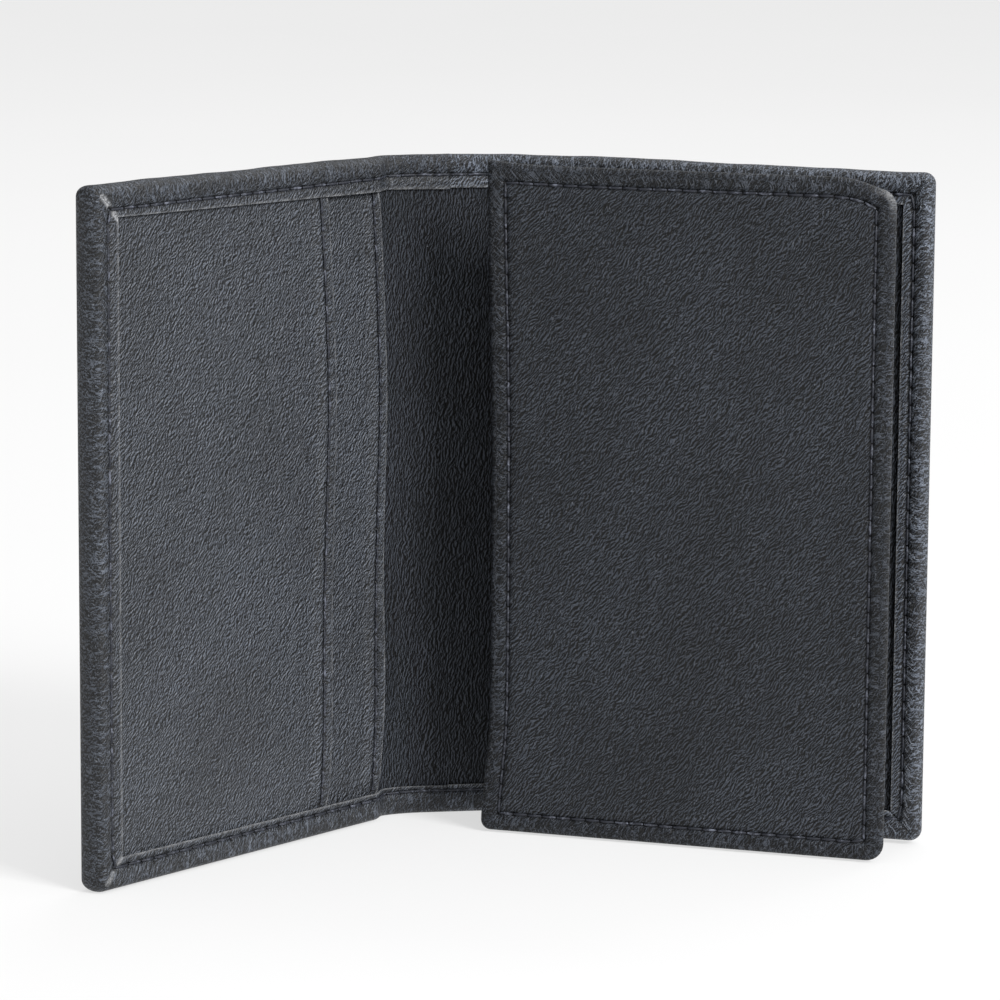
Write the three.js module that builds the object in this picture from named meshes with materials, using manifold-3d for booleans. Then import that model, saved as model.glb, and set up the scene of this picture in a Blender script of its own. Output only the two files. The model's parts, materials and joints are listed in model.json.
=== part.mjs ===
// Bifold card holder in turned-edge leather, standing open on its bottom edges.
// Millimetres, +Z up. The right cover lies along +X with its inside facing -Y. The spine
// folds round the right crease and the left cover folds round the left crease.
import * as THREE from 'three';
import { mergeVertices } from 'three/addons/utils/BufferGeometryUtils.js';
import Module from 'manifold-3d';

const wasm = await Module();
wasm.setup();

// Overall size and the folds at rest
const HEIGHT = 105;
const COVER_WIDTH = 67.4;
const SPINE_WIDTH = 20.5;
const RIGHT_FOLD = THREE.MathUtils.degToRad(27);
const LEFT_FOLD = THREE.MathUtils.degToRad(41);
const COVER_CORNER = 1.8;

// Thicknesses of the sheets, and the gap left between glued or stacked layers
const OUTER_LEATHER = 0.9;
const TURNED_LIP = 0.6;
const SPINE_LIP = 0.4;
const BOARD = 0.6;
const INTERLINING = 0.3;
const LINING = 0.4;
const SLOT_LEATHER = 0.5;
const SLOT_FABRIC = 0.3;
const LAYER_GAP = 0.1;

// Turned edges and seams
const EDGE_WALL = 0.9;
const LIP_WIDTH = 4.9;
const SEAM_INSET = 3.6;
const THREAD = 0.6;
const THREAD_RISE = 0.2;
const CREASE_GAP = 0.15;
const COVER_SETBACK = 2.2;
const BOARD_SETBACK = 6.5;
const SPINE_SETBACK = 1;

// Card slots on the left cover, measured from the left crease
const OUTER_SLOT_START = 14.8;
const INNER_SLOT_START = 2;
const INNER_SLOT_LEATHER = 22;
const HEM_WIDTH = 4;
const HEM_RISE = 0.3;
const HEM_SEAM = 1.5;

// Gusseted pocket on the right cover
const PANEL_FRONT = 16.1;
const PANEL_THICKNESS = 1.9;
const PANEL_LEATHER = 0.8;
const PANEL_BOARD = 0.5;
const PANEL_FORE_INSET = 2.7;
const PANEL_FLOAT = 0.3;
const PANEL_MOUTH_CORNER = 1.45;
const PANEL_MOUTH_HOLLOW = 0.95;
const PANEL_CORNER = 2.5;
const PANEL_DROOP = 2.2;
const PANEL_DROOP_LENGTH = 9;
const PANEL_DROOP_ROUND = 1;
const PANEL_WALL = 0.8;
const PANEL_LIP = 6;
const PANEL_SEAM = 2.8;
const PANEL_MOUTH_SEAM = 1.1;
const GUSSET = 0.5;
const GUSSET_MOUTH = 5;
const GUSSET_FLANGE = 3.8;
const GUSSET_COVER_INSET = 1.6;
const GUSSET_PANEL_INSET = 3.2;
const GUSSET_FOLD_INSET = 11;

// Far enough to cut right through or past a piece, and just enough to leave no skin
const BEYOND = 20;
const SLIVER = 1e-3;

const leatherMaterial = (colour) =>
  new THREE.MeshStandardMaterial({ color: colour, roughness: 0.55, metalness: 0 });
const MATERIALS = {
  leather: leatherMaterial(0x24272e),
  lining: leatherMaterial(0x2a2d34),
  fabric: new THREE.MeshStandardMaterial({ color: 0x1b1c20, roughness: 0.9, metalness: 0 }),
  board: new THREE.MeshStandardMaterial({ color: 0x8a8070, roughness: 0.95, metalness: 0 }),
  thread: new THREE.MeshStandardMaterial({ color: 0x14161d, roughness: 0.7, metalness: 0 }),
};

// A rectangle in X and Z with a radius for each corner: low left, low right, high right, high left.
function roundedOutline(x0, x1, z0, z1, radii = [0, 0, 0, 0]) {
  const shape = new THREE.Shape();
  const centres = [
    [x0 + radii[0], z0 + radii[0]],
    [x1 - radii[1], z0 + radii[1]],
    [x1 - radii[2], z1 - radii[2]],
    [x0 + radii[3], z1 - radii[3]],
  ];
  centres.forEach(([x, z], corner) => {
    const start = Math.PI + (corner * Math.PI) / 2;
    const radius = radii[corner];
    const first = [x + radius * Math.cos(start), z + radius * Math.sin(start)];
    if (corner === 0) {
      shape.moveTo(...first);
    } else {
      shape.lineTo(...first);
    }
    if (radius > 0) {
      shape.absarc(x, z, radius, start, start + Math.PI / 2, false);
    }
  });
  shape.closePath();
  return shape;
}

// A flat sheet: the outline in X and Z, from outerY towards -Y by its thickness.
function sheet(outline, outerY, thickness) {
  const geometry = new THREE.ExtrudeGeometry(outline, {
    depth: thickness,
    bevelEnabled: false,
    curveSegments: 6,
  });
  geometry.rotateX(Math.PI / 2);
  geometry.translate(0, outerY, 0);
  return geometry;
}

function block(x0, x1, outerY, innerY, z0, z1) {
  return sheet(roundedOutline(x0, x1, z0, z1), outerY, outerY - innerY);
}

function toSolid(geometry) {
  const bare = geometry.clone();
  bare.deleteAttribute('normal');
  bare.deleteAttribute('uv');
  const merged = mergeVertices(bare, 1e-4);
  return new wasm.Manifold(
    new wasm.Mesh({
      numProp: 3,
      vertProperties: new Float32Array(merged.attributes.position.array),
      triVerts: new Uint32Array(merged.index.array),
    }),
  );
}

function toGeometry(solid) {
  const mesh = solid.getMesh();
  const geometry = new THREE.BufferGeometry();
  geometry.setAttribute('position', new THREE.BufferAttribute(mesh.vertProperties, 3));
  geometry.setIndex(new THREE.BufferAttribute(mesh.triVerts, 1));
  geometry.computeVertexNormals();
  return geometry;
}

function cut(geometry, ...tools) {
  const solid = tools.reduce((rest, tool) => rest.subtract(toSolid(tool)), toSolid(geometry));
  return toGeometry(solid);
}

function join(...geometries) {
  const solid = geometries.map(toSolid).reduce((sum, next) => sum.add(next));
  return toGeometry(solid);
}

function piece(name, material, geometry) {
  const mesh = new THREE.Mesh(geometry, MATERIALS[material]);
  mesh.name = name;
  return mesh;
}

// How deep each stack of layers is, from the inner face of the outer leather to the lip's face.
const depthOf = (...layers) => layers.reduce((sum, layer) => sum + LAYER_GAP + layer, 0);
const LINING_DEPTH = depthOf(BOARD, LINING);
const RIGHT_DEPTH = depthOf(BOARD, LINING, GUSSET, TURNED_LIP);
const LEFT_DEPTH = depthOf(BOARD, LINING, LINING, SLOT_LEATHER, SLOT_LEATHER, TURNED_LIP);
const SPINE_DEPTH = depthOf(INTERLINING, LINING, SPINE_LIP);

// Outer leather of a cover, turned over its top, bottom and fore edges on to the inside.
// side is 1 for the right cover and -1 for the left, whose fore edge is at -X.
function turnedCover(side, depth) {
  const span = (from, to) => (side > 0 ? [from, to] : [-to, -from]);
  const radii = side > 0 ? [0, COVER_CORNER, COVER_CORNER, 0] : [COVER_CORNER, 0, 0, COVER_CORNER];
  const body = sheet(
    roundedOutline(...span(CREASE_GAP, COVER_WIDTH), 0, HEIGHT, radii),
    OUTER_LEATHER,
    OUTER_LEATHER + depth,
  );
  const creaseRelief = block(...span(-BEYOND, COVER_SETBACK), 0, -BEYOND, -BEYOND, HEIGHT + BEYOND);
  const cavity = block(
    ...span(-BEYOND, COVER_WIDTH - EDGE_WALL), 0, -depth + TURNED_LIP,
    EDGE_WALL, HEIGHT - EDGE_WALL,
  );
  const opening = block(
    ...span(-BEYOND, COVER_WIDTH - LIP_WIDTH), 0, -BEYOND,
    LIP_WIDTH, HEIGHT - LIP_WIDTH,
  );
  return cut(body, creaseRelief, cavity, opening);
}

// A layer inside a cover, from the given distances off the crease, lying under the turned lip.
function coverLayer(side, from, to, front, thickness) {
  const inset = EDGE_WALL + LAYER_GAP;
  const edges = side > 0 ? [from, to] : [-to, -from];
  return block(...edges, -front, -front - thickness, inset, HEIGHT - inset);
}

// Thread laid on the turned lip along the top, fore edge and bottom of a cover.
function coverSeam(side, depth) {
  const span = (from, to) => (side > 0 ? [from, to] : [-to, -from]);
  const surface = -depth - LAYER_GAP;
  const ring = block(
    ...span(COVER_SETBACK, COVER_WIDTH - SEAM_INSET), surface, surface - THREAD_RISE,
    SEAM_INSET, HEIGHT - SEAM_INSET,
  );
  const inside = block(
    ...span(-BEYOND, COVER_WIDTH - SEAM_INSET - THREAD), BEYOND, -BEYOND,
    SEAM_INSET + THREAD, HEIGHT - SEAM_INSET - THREAD,
  );
  return cut(ring, inside);
}

// A card slot's leather, its mouth hem turned under and sewn, which lies a little proud.
function hemmedSlot(from, to, front) {
  const hem = block(
    -from - HEM_WIDTH, -from, -front - SLOT_LEATHER, -front - SLOT_LEATHER - HEM_RISE,
    LIP_WIDTH + LAYER_GAP, HEIGHT - LIP_WIDTH - LAYER_GAP,
  );
  return join(coverLayer(-1, from, to, front, SLOT_LEATHER), hem);
}

function hemSeam(from, front) {
  const surface = -front - SLOT_LEATHER - HEM_RISE - LAYER_GAP;
  return block(
    -from - HEM_SEAM - THREAD, -from - HEM_SEAM, surface, surface - THREAD_RISE,
    LIP_WIDTH + THREAD, HEIGHT - LIP_WIDTH - THREAD,
  );
}

function rightCover() {
  const group = new THREE.Group();
  const layerEnd = COVER_WIDTH - EDGE_WALL - LAYER_GAP;
  const boardFront = LAYER_GAP;
  const liningFront = boardFront + BOARD + LAYER_GAP;
  group.add(
    piece('cover_leather_right', 'leather', turnedCover(1, RIGHT_DEPTH)),
    piece('cover_board_right', 'board', coverLayer(1, BOARD_SETBACK, layerEnd, boardFront, BOARD)),
    piece(
      'cover_lining_right', 'lining',
      coverLayer(1, COVER_SETBACK, layerEnd, liningFront, LINING),
    ),
    piece('cover_seam_right', 'thread', coverSeam(1, RIGHT_DEPTH)),
    piece('pocket_gusset', 'lining', gusset()),
  );
  return group;
}

function leftCover() {
  const group = new THREE.Group();
  const layerEnd = COVER_WIDTH - EDGE_WALL - LAYER_GAP;
  const boardFront = LAYER_GAP;
  const liningFront = boardFront + BOARD + LAYER_GAP;
  const backFront = liningFront + LINING + LAYER_GAP;
  const innerFront = backFront + LINING + LAYER_GAP;
  const outerFront = innerFront + SLOT_LEATHER + LAYER_GAP;
  const innerEnd = INNER_SLOT_START + INNER_SLOT_LEATHER;
  group.add(
    piece('cover_leather_left', 'leather', turnedCover(-1, LEFT_DEPTH)),
    piece('cover_board_left', 'board', coverLayer(-1, BOARD_SETBACK, layerEnd, boardFront, BOARD)),
    piece(
      'cover_lining_left', 'lining',
      coverLayer(-1, COVER_SETBACK, layerEnd, liningFront, LINING),
    ),
    piece(
      'slot_back_leather', 'lining',
      coverLayer(-1, INNER_SLOT_START, layerEnd, backFront, LINING),
    ),
    piece('slot_leather_inner', 'leather', hemmedSlot(INNER_SLOT_START, innerEnd, innerFront)),
    piece(
      'slot_liner_fabric', 'fabric',
      coverLayer(-1, innerEnd + LAYER_GAP, layerEnd, innerFront, SLOT_FABRIC),
    ),
    piece('slot_leather_outer', 'leather', hemmedSlot(OUTER_SLOT_START, layerEnd, outerFront)),
    piece('slot_seam_inner', 'thread', hemSeam(INNER_SLOT_START, innerFront)),
    piece('slot_seam_outer', 'thread', hemSeam(OUTER_SLOT_START, outerFront)),
    piece('cover_seam_left', 'thread', coverSeam(-1, LEFT_DEPTH)),
  );
  return group;
}

// The spine runs towards -X from the right crease, turned over at its top and bottom only.
function spine() {
  const group = new THREE.Group();
  const inset = EDGE_WALL + LAYER_GAP;
  const near = -SPINE_SETBACK;
  const far = SPINE_SETBACK - SPINE_WIDTH;
  const body = join(
    block(CREASE_GAP - SPINE_WIDTH, -CREASE_GAP, OUTER_LEATHER, 0, 0, HEIGHT),
    block(far, near, OUTER_LEATHER / 2, -SPINE_DEPTH, 0, HEIGHT),
  );
  const cavity = block(
    -BEYOND * 2, BEYOND, 0, -SPINE_DEPTH + SPINE_LIP,
    EDGE_WALL, HEIGHT - EDGE_WALL,
  );
  const opening = block(-BEYOND * 2, BEYOND, 0, -BEYOND, LIP_WIDTH, HEIGHT - LIP_WIDTH);
  const interliningFront = -LAYER_GAP;
  const liningFront = interliningFront - INTERLINING - LAYER_GAP;
  const seamFront = -SPINE_DEPTH - LAYER_GAP;
  const seam = (z) => block(far, near, seamFront, seamFront - THREAD_RISE, z, z + THREAD);
  group.add(
    piece('spine_leather', 'leather', cut(body, cavity, opening)),
    piece(
      'spine_interlining', 'fabric',
      block(far, near, interliningFront, interliningFront - INTERLINING, inset, HEIGHT - inset),
    ),
    piece(
      'spine_lining', 'lining',
      block(far, near, liningFront, liningFront - LINING, inset, HEIGHT - inset),
    ),
    piece('spine_seam_top', 'thread', seam(HEIGHT - SEAM_INSET - THREAD)),
    piece('spine_seam_bottom', 'thread', seam(SEAM_INSET)),
  );
  return group;
}

// The pocket's front panel: hollow mouth edge towards the spine, round low fore corner and a
// high fore corner that droops. The mouth's corners clear the spine when the case is shut.
function panelOutline() {
  const mouth = PANEL_MOUTH_CORNER;
  const fore = COVER_WIDTH - PANEL_FORE_INSET;
  const low = PANEL_FLOAT;
  const high = HEIGHT - PANEL_FLOAT;
  const radius = PANEL_CORNER;
  const drooped = high - PANEL_DROOP;
  const shape = new THREE.Shape();
  shape.moveTo(mouth, low);
  shape.lineTo(fore - radius, low);
  shape.absarc(fore - radius, low + radius, radius, -Math.PI / 2, 0, false);
  shape.lineTo(fore, drooped - PANEL_DROOP_ROUND);
  shape.quadraticCurveTo(
    fore, drooped,
    fore - PANEL_DROOP_ROUND, drooped + PANEL_DROOP_ROUND / 3,
  );
  shape.quadraticCurveTo(fore - PANEL_DROOP_LENGTH / 2, high, fore - PANEL_DROOP_LENGTH, high);
  shape.lineTo(mouth, high);
  shape.quadraticCurveTo(mouth + 2 * PANEL_MOUTH_HOLLOW, HEIGHT / 2, mouth, low);
  return shape;
}

function pocketPanel() {
  const group = new THREE.Group();
  const back = PANEL_THICKNESS - PANEL_FRONT;
  const front = -PANEL_FRONT;
  const inner = PANEL_MOUTH_CORNER + PANEL_MOUTH_HOLLOW;
  const fore = COVER_WIDTH - PANEL_FORE_INSET;
  const low = PANEL_FLOAT;
  const high = HEIGHT - PANEL_FLOAT;
  const rim = PANEL_DROOP;
  const hollow = (wall, outerY, innerY) => block(
    inner + wall, fore - wall, outerY, innerY,
    low + wall, high - wall - rim,
  );
  const boardBack = front + PANEL_LEATHER + LAYER_GAP + PANEL_BOARD;
  const liningBack = boardBack + LAYER_GAP + LINING;
  const leather = cut(
    sheet(panelOutline(), back, PANEL_THICKNESS),
    hollow(PANEL_WALL, liningBack + LAYER_GAP, front + PANEL_LEATHER),
    hollow(PANEL_LIP, BEYOND, front + PANEL_LEATHER),
  );
  const clear = PANEL_WALL + LAYER_GAP;
  const surface = front - LAYER_GAP;
  const seamOutline = (extra) => roundedOutline(
    inner + PANEL_MOUTH_SEAM + extra, fore - PANEL_SEAM - extra,
    low + PANEL_SEAM + extra, high - PANEL_SEAM - extra,
    [0, PANEL_CORNER / 2, PANEL_CORNER / 2, 0],
  );
  group.add(
    piece('panel_leather', 'leather', leather),
    piece('panel_board', 'board', hollow(clear, boardBack, boardBack - PANEL_BOARD)),
    piece('panel_lining', 'lining', hollow(clear, liningBack, liningBack - LINING)),
    piece(
      'panel_seam', 'thread',
      cut(
        sheet(seamOutline(0), surface, THREAD_RISE),
        sheet(seamOutline(THREAD), BEYOND, 2 * BEYOND),
      ),
    ),
  );
  return group;
}

// A block whose rectangle, open past the mouth side, is inset by different amounts at its two
// ends. Insets are from the cover's top, bottom and fore edges.
function taperedBlock(mouth, backY, backInset, frontY, frontInset) {
  const corners = [];
  for (const [y, inset] of [[backY, backInset], [frontY, frontInset]]) {
    corners.push([mouth, y, inset]);
    corners.push([COVER_WIDTH - inset, y, inset]);
    corners.push([COVER_WIDTH - inset, y, HEIGHT - inset]);
    corners.push([mouth, y, HEIGHT - inset]);
  }
  const faces = [
    [0, 3, 2], [0, 2, 1],
    [4, 5, 6], [4, 6, 7],
    [0, 1, 5], [0, 5, 4],
    [1, 2, 6], [1, 6, 5],
    [2, 3, 7], [2, 7, 6],
    [3, 0, 4], [3, 4, 7],
  ];
  const geometry = new THREE.BufferGeometry();
  geometry.setAttribute('position', new THREE.Float32BufferAttribute(corners.flat(), 3));
  geometry.setIndex(faces.flat());
  return geometry;
}

// One strip of thin leather round the pocket's bottom, fore edge and top. Its middle folds
// inwards like a bellows, and each edge has a flange sewn to the cover or to the panel.
function gusset() {
  const coverY = -LINING_DEPTH - LAYER_GAP;
  const panelY = PANEL_THICKNESS - PANEL_FRONT + LAYER_GAP;
  const foldY = (coverY + panelY) / 2;
  const coverInset = GUSSET_COVER_INSET + GUSSET_FLANGE;
  const panelInset = GUSSET_PANEL_INSET;
  const bellows = (mouth, extra, reach) => join(
    taperedBlock(mouth, coverY + reach, coverInset + extra, foldY, GUSSET_FOLD_INSET + extra),
    taperedBlock(mouth, foldY, GUSSET_FOLD_INSET + extra, panelY - reach, panelInset + extra),
  );
  const flange = (outerY, inset, width) => cut(
    block(GUSSET_MOUTH, COVER_WIDTH - inset, outerY, outerY - GUSSET, inset, HEIGHT - inset),
    block(
      -BEYOND, COVER_WIDTH - inset - width, BEYOND, -BEYOND,
      inset + width, HEIGHT - inset - width,
    ),
  );
  const wall = cut(bellows(GUSSET_MOUTH, 0, 0), bellows(-BEYOND, 2 * GUSSET, SLIVER));
  return join(
    wall,
    flange(coverY, GUSSET_COVER_INSET, GUSSET_FLANGE + 2 * GUSSET),
    flange(panelY + GUSSET, panelInset, GUSSET_FLANGE),
  );
}

const leftGroup = leftCover();
leftGroup.position.x = -SPINE_WIDTH;
leftGroup.rotation.z = LEFT_FOLD;

const spineGroup = spine();
spineGroup.rotation.z = RIGHT_FOLD;
spineGroup.add(leftGroup);

const cardHolder = new THREE.Group();
cardHolder.add(rightCover(), pocketPanel(), spineGroup);

// The origin is the middle of the footprint, on the surface that the holder stands on.
cardHolder.updateMatrixWorld(true);
const bounds = new THREE.Box3().setFromObject(cardHolder, true);
const centre = bounds.getCenter(new THREE.Vector3());
cardHolder.position.set(-centre.x, -centre.y, -bounds.min.z);

export default cardHolder;
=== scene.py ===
"""Looks of a bifold card holder in turned-edge leather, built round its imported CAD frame.

Lengths are in millimetres until a mesh is made. A place in the leather is given by s, z and n:
s runs along the opened-out case from the right crease, with the right cover at s > 0, z is the
height, and n is the depth from the inner face of the outer leather towards the inside.
"""
import json
import math

import bmesh
import bpy
import numpy as np
from mathutils import Matrix, Vector


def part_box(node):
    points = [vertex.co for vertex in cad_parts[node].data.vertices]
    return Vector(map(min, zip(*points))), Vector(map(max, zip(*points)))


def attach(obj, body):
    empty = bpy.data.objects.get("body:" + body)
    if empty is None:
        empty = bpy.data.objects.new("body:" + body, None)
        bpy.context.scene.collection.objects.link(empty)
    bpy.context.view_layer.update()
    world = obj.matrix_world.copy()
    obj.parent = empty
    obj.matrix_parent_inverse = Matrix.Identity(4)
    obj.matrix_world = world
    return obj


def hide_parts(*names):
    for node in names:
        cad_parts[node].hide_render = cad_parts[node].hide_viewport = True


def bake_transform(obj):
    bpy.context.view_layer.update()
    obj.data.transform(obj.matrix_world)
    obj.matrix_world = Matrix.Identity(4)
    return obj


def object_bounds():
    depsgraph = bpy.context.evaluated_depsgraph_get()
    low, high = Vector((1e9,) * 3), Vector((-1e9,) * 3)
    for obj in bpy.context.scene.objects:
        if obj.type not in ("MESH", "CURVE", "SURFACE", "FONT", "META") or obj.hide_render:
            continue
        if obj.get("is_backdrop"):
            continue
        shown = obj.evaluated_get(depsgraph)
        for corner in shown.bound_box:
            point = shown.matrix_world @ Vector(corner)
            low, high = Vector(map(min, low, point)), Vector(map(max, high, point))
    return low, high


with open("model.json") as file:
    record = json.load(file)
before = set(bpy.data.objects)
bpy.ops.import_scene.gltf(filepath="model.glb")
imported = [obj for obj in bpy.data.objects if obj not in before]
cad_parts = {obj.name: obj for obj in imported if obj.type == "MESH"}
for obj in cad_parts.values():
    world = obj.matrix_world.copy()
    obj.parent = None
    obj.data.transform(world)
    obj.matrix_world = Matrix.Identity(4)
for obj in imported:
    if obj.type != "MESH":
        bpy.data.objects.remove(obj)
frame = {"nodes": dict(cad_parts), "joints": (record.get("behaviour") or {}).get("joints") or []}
CAD_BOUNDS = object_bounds()

MM = 0.001
JOINTS = {joint["name"]: joint for joint in frame["joints"]}


def low_corner(node):
    return np.array(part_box(node)[0]) / MM


def high_corner(node):
    return np.array(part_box(node)[1]) / MM


# ---------------------------------------------------------------- sizes from the frame
RIGHT_CREASE = np.array(JOINTS["right_crease"]["pos_m"])[:2] / MM
LEFT_CREASE = np.array(JOINTS["left_crease"]["pos_m"])[:2] / MM
RIGHT_FOLD = -math.radians(JOINTS["right_crease"]["range_deg"][0])
LEFT_FOLD = -math.radians(JOINTS["left_crease"]["range_deg"][0])
SPINE = float(np.linalg.norm(LEFT_CREASE - RIGHT_CREASE))
HEIGHT = high_corner("cover_leather_right")[2]
COVER = high_corner("cover_leather_right")[0] - RIGHT_CREASE[0]
OUTER = high_corner("cover_leather_right")[1] - RIGHT_CREASE[1]
RIGHT_TOP = RIGHT_CREASE[1] - low_corner("cover_leather_right")[1]
PANEL_FRONT = RIGHT_CREASE[1] - low_corner("panel_leather")[1]
PANEL_BACK = RIGHT_CREASE[1] - high_corner("panel_leather")[1]
PANEL_MOUTH = low_corner("panel_leather")[0] - RIGHT_CREASE[0]
PANEL_FORE = high_corner("panel_leather")[0] - RIGHT_CREASE[0]
PANEL_LOW = low_corner("panel_leather")[2]
PANEL_HIGH = high_corner("panel_leather")[2]
MID_SPINE = -SPINE / 2
REACH = SPINE / 2 + COVER

# How deep the turned lip's face lies on the spine and on the left cover, and the lip's thickness
SPINE_TOP = 1.4
LEFT_TOP = 3.6
LIP = 0.6
SPINE_LIP = 0.4
# The covers' corner radius, and how far to each side of a crease the leather bends
COVER_CORNER = 1.8
BEND = 6.4
# The layers inside end this far from the case's edge
MARGIN = 1.0
# The right cover isn't quite square: its top droops and its bottom rises towards the fore edge
DROOP = 0.55
RISE = 0.45

# ---------------------------------------------------------------- small helpers


def ease(x, low, high):
    """0 below low, 1 above high, and smooth between."""
    t = np.clip((np.asarray(x, float) - low) / (high - low), 0, 1)
    return t * t * (3 - 2 * t)


def hump(x, centre, width):
    return np.exp(-(((np.asarray(x, float) - centre) / width) ** 2))


def wobble(x, seed, wavelength):
    """A smooth curve that wanders between about -1 and 1."""
    rng = np.random.default_rng(seed)
    total = np.zeros_like(np.asarray(x, float))
    for octave, share in ((1.0, 0.55), (2.3, 0.3), (4.7, 0.15)):
        total = total + share * np.sin(2 * np.pi * octave * x / wavelength + rng.uniform(0, 6.28))
    return total


# ---------------------------------------------------------------- the folded case
def direction(angle):
    return np.array([math.cos(angle), math.sin(angle)])


ALONG_LEFT = direction(RIGHT_FOLD + LEFT_FOLD)
ALONG_SPINE = direction(RIGHT_FOLD)
ALONG_RIGHT = direction(0)


def place(s, z, n):
    """Where a point of the leather is, in the frame of the case standing open."""
    s, z, n = np.broadcast_arrays(*(np.asarray(v, float) for v in (s, z, n)))
    share = z / HEIGHT
    z = z - DROOP * ease(s, 15, 60) * share + RISE * ease(s, 30, 66) * (1 - share)
    right = s >= 0
    left = s < -SPINE
    along = np.where(right[..., None], ALONG_RIGHT, ALONG_SPINE)
    along = np.where(left[..., None], ALONG_LEFT, along)
    start = np.where(left[..., None], LEFT_CREASE, RIGHT_CREASE)
    run = np.where(left, s + SPINE, s)
    point = start + run[..., None] * along
    tangent = along.copy()
    for crease, before, after in ((0, ALONG_SPINE, ALONG_RIGHT), (-SPINE, ALONG_LEFT, ALONG_SPINE)):
        off = s - crease
        inside = np.clip(BEND - np.abs(off), 0, None)
        turn = (after - before) / 2
        point = point + (inside**2 / (2 * BEND))[..., None] * turn
        tangent = tangent - (np.sign(off + 1e-9) * inside / BEND)[..., None] * turn
    tangent /= np.linalg.norm(tangent, axis=-1)[..., None]
    inward = np.stack([tangent[..., 1], -tangent[..., 0]], axis=-1)
    plan = point + n[..., None] * inward
    return np.concatenate([plan, z[..., None]], axis=-1)


def place_flat(x, z, n):
    """A point of the pocket, which stays flat in front of the right cover."""
    x, z, n = np.broadcast_arrays(*(np.asarray(v, float) for v in (x, z, n)))
    return np.stack([RIGHT_CREASE[0] + x, RIGHT_CREASE[1] - n, z], axis=-1)


def lip_top(s):
    """Depth of the turned lip's face, which climbs from the spine on to the covers' layers."""
    left = ease(-s - SPINE, 0.6, 5.2)
    right = ease(s, 0.8, 4.6)
    return SPINE_TOP + (LEFT_TOP - SPINE_TOP) * left + (RIGHT_TOP - SPINE_TOP) * right


def lip_thickness(s):
    return SPINE_LIP + (LIP - SPINE_LIP) * np.maximum(ease(-s - SPINE, 0.6, 5.2), ease(s, 0.8, 4.6))


# ---------------------------------------------------------------- meshes
def mesh_piece(name, points, faces, rest, marks, edge):
    """A mesh from points in millimetres, with what its material reads at each point:
    rest (s, z, n), marks (dark, raw, rolled) and edge (along the rim, across it, 0). dark is
    painted shade in stitch holes and seam grooves."""
    mesh = bpy.data.meshes.new(name)
    mesh.from_pydata((points * MM).tolist(), [], faces)
    for label, values in (("rest", rest), ("edge", edge), ("marks", marks)):
        attribute = mesh.attributes.new(label, "FLOAT_VECTOR", "POINT")
        attribute.data.foreach_set("vector", values.astype(np.float32).ravel())
    work = bmesh.new()
    work.from_mesh(mesh)
    bmesh.ops.remove_doubles(work, verts=work.verts, dist=1e-7)
    bmesh.ops.dissolve_degenerate(work, edges=work.edges, dist=1e-7)
    bmesh.ops.recalc_face_normals(work, faces=work.faces)
    work.to_mesh(mesh)
    work.free()
    mesh.shade_smooth()
    mesh.set_sharp_from_angle(angle=math.radians(62))
    piece = bpy.data.objects.new(name, mesh)
    bpy.context.scene.collection.objects.link(piece)
    return piece


def grid_faces(rows, cols, close_rows=False, close_cols=False, start=0):
    row = np.arange(rows if close_rows else rows - 1)
    col = np.arange(cols if close_cols else cols - 1)
    r, c = np.meshgrid(row, col, indexing="ij")
    r2, c2 = (r + 1) % rows, (c + 1) % cols
    quads = np.stack([r * cols + c, r * cols + c2, r2 * cols + c2, r2 * cols + c], axis=-1)
    return (quads.reshape(-1, 4) + start).tolist()


def shares(length, ends=4.0, fine=0.22, coarse=0.55):
    """Shares of a length, closer together near both ends."""
    close = np.linspace(0, ends, round(ends / fine) + 1)
    middle = np.linspace(ends, length - ends, round((length - 2 * ends) / coarse) + 1)[1:-1]
    return np.concatenate([close, middle, length - close[::-1]]) / length


# A ring's smallest corner radius, and the points in a corner
SHARP = 0.04
ARC_STEPS = 9
# From the mouth end of an open ring, how far its points stay put on every ring
STEADY = 20.0


def stretched(x, width, end):
    """Squeezes a grid from 0 to width so that it ends at end, but leaves its start alone, so
    that the rows run straight up where the leather bends."""
    return np.where(x <= STEADY, x, STEADY + (x - STEADY) * (end - STEADY) / (width - STEADY))


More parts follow.
